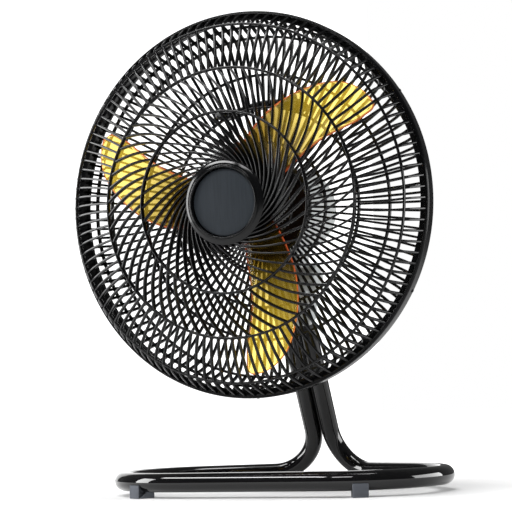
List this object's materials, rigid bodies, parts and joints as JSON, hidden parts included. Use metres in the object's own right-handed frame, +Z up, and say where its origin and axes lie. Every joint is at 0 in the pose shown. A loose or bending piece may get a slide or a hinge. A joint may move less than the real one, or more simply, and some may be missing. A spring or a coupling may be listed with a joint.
{
  "type": "floor fan",
  "caption": "Tilting round floor fan: spiral-ribbed guard, clear amber propeller on an induction motor, bent tube stand with rubber feet.",
  "frame": {"origin": "on the floor, in the middle of the whole fan seen from above", "axes": "+Z up, the guard faces -Y, +X to the right of a viewer in front"},
  "size_m": [0.515, 0.3505, 0.6398],
  "materials": {
    "black_plastic": "black moulded plastic, satin gloss",
    "badge_plastic": "slate grey moulded plastic, fine grain",
    "amber_blade": "clear amber yellow moulded plastic",
    "grey_plastic": "light grey moulded plastic, satin",
    "black_painted_tube": "gloss black paint on steel tube",
    "foot_rubber": "dark grey rubber, matt",
    "cast_aluminium": "die-cast aluminium",
    "lamination_steel": "stacked steel sheet",
    "winding_copper": "enamelled copper wire",
    "capacitor_plastic": "moulded capacitor case",
    "bright_steel": "zinc plated steel"
  },
  "bodies": {
    "stand": {"stand_tube": "black_painted_tube", "foot_front_left": "foot_rubber", "foot_front_right": "foot_rubber", "foot_rear_left": "foot_rubber", "foot_rear_right": "foot_rubber", "foot_screws": "bright_steel", "tilt_bracket": "black_plastic", "bracket_screws": "bright_steel", "tilt_bolt": "bright_steel", "tilt_washers": "bright_steel"},
    "tilt_knob": {"tilt_knob": "black_plastic", "tilt_nut": "bright_steel"},
    "head": {"front_grille": "black_plastic", "front_badge": "badge_plastic", "rear_grille": "black_plastic", "guard_ring": "black_plastic", "guard_clips": "black_plastic", "guard_clip_screws": "bright_steel", "carry_handle": "black_plastic", "handle_screws": "bright_steel", "grille_nut": "black_plastic", "motor_front_shield": "cast_aluminium", "motor_rear_shield": "cast_aluminium", "motor_screws": "bright_steel", "front_bearing": "bright_steel", "rear_bearing": "bright_steel", "stator_core": "lamination_steel", "stator_coils": "winding_copper", "rear_cover": "grey_plastic", "rear_cover_screws": "bright_steel", "speed_switch": "black_plastic", "capacitor": "capacitor_plastic", "cord_gland": "foot_rubber", "tilt_neck": "grey_plastic", "neck_screws": "bright_steel"},
    "rotor": {"motor_shaft": "bright_steel", "drive_pin": "bright_steel", "rotor_core": "lamination_steel", "propeller": "amber_blade", "propeller_nut": "black_plastic"},
    "speed_knob": {"speed_knob": "black_plastic"}
  },
  "joints": [
    {"name": "head_tilt", "type": "hinge", "parent": "stand", "child": "head", "pos_m": [0, 0.0413, 0.2918], "axis": [-1, 0, 0], "range_deg": [-10, 45]},
    {"name": "propeller_spin", "type": "hinge", "parent": "head", "child": "rotor", "pos_m": [0, -0.0989, 0.3807], "axis": [0, 0.9978, 0.0663], "continuous": true},
    {"name": "speed_knob_turn", "type": "hinge", "parent": "head", "child": "speed_knob", "pos_m": [0, 0.11064, 0.39462], "axis": [0, -0.9978, -0.0663], "range_deg": [0, 135]},
    {"name": "tilt_knob_turn", "type": "hinge", "parent": "stand", "child": "tilt_knob", "pos_m": [0, 0.0413, 0.2918], "axis": [1, 0, 0], "range_deg": [0, 360]}
  ]
}
